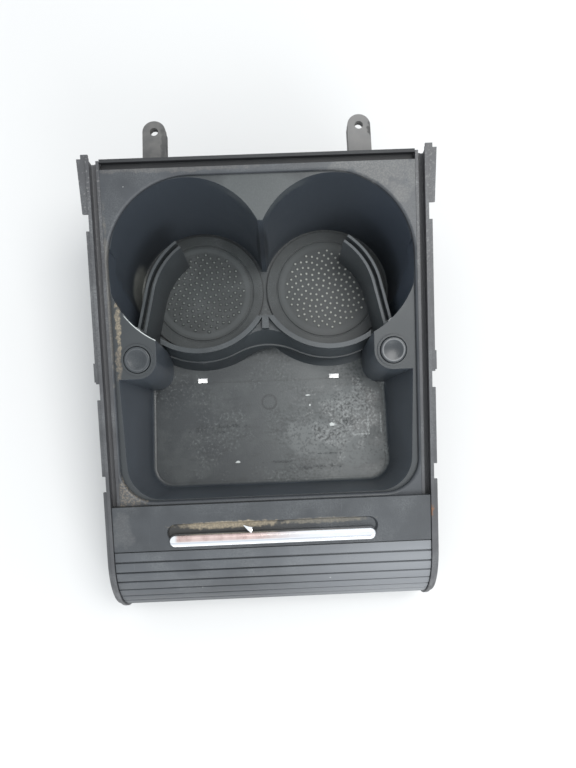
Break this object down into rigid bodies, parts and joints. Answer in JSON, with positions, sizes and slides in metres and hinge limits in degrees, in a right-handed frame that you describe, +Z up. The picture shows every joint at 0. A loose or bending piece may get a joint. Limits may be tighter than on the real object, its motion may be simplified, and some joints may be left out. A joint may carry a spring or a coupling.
{
  "type": "car cup holder",
  "caption": "Centre console insert with cup wells, sprung holding arms, a front tray and a ribbed roller shutter with a bright pull bar.",
  "frame": {"origin": "middle of the outline, on the level surface that the side rails stand on", "axes": "+Z up along the cup wells, +Y to the rear where the screw lugs are, -Y to the front where the shutter rolls down, +X to the right seen from above with the front below"},
  "size_m": [0.1938, 0.2746, 0.1025],
  "materials": {
    "housing_plastic": "fine-grained charcoal moulding",
    "shutter_plastic": "satin charcoal slats",
    "button_plastic": "satin charcoal",
    "mat_rubber": "matt rubber with raised dots",
    "bright_trim": "bright plated trim",
    "steel": "plain steel"
  },
  "bodies": {
    "housing": {"storage_bin": "housing_plastic", "deck_frame": "housing_plastic", "left_side_rail": "housing_plastic", "right_side_rail": "housing_plastic", "rear_bracket": "housing_plastic", "cup_divider": "housing_plastic", "left_cup_mat": "mat_rubber", "right_cup_mat": "mat_rubber", "left_arm_pin": "steel", "right_arm_pin": "steel", "left_arm_spring": "steel", "right_arm_spring": "steel", "left_button_spring": "steel", "right_button_spring": "steel", "rail_screws": "steel", "shutter_curtain": "shutter_plastic"},
    "shutter": {"shutter_panel": "shutter_plastic", "pull_bar": "bright_trim"},
    "left_arm": {"left_arm": "housing_plastic"},
    "right_arm": {"right_arm": "housing_plastic"},
    "left_button": {"left_button": "button_plastic"},
    "right_button": {"right_button": "button_plastic"}
  },
  "joints": [
    {"name": "shutter_slide", "type": "slide", "parent": "housing", "child": "shutter", "axis": [0, 0.9772, 0.2122], "range_m": [0, 0.187]},
    {"name": "left_arm_fold", "type": "hinge", "parent": "housing", "child": "left_arm", "pos_m": [-0.07352, 0.02129, 0.01899], "axis": [0, 0, 1], "range_deg": [0, 12], "stiffness_Nm_per_rad": 0.05, "springref_deg": -5.73},
    {"name": "right_arm_fold", "type": "hinge", "parent": "housing", "child": "right_arm", "pos_m": [0.07352, 0.02129, 0.01899], "axis": [0, 0, -1], "range_deg": [0, 12], "stiffness_Nm_per_rad": 0.05, "springref_deg": -5.73},
    {"name": "left_button_press", "type": "slide", "parent": "housing", "child": "left_button", "axis": [0, 0.2122, -0.9772], "range_m": [0, 0.003], "stiffness_N_per_m": 300, "springref_m": -0.002, "deforming": ["left_button_spring"]},
    {"name": "right_button_press", "type": "slide", "parent": "housing", "child": "right_button", "axis": [0, 0.2122, -0.9772], "range_m": [0, 0.003], "stiffness_N_per_m": 300, "springref_m": -0.002, "deforming": ["right_button_spring"]}
  ]
}
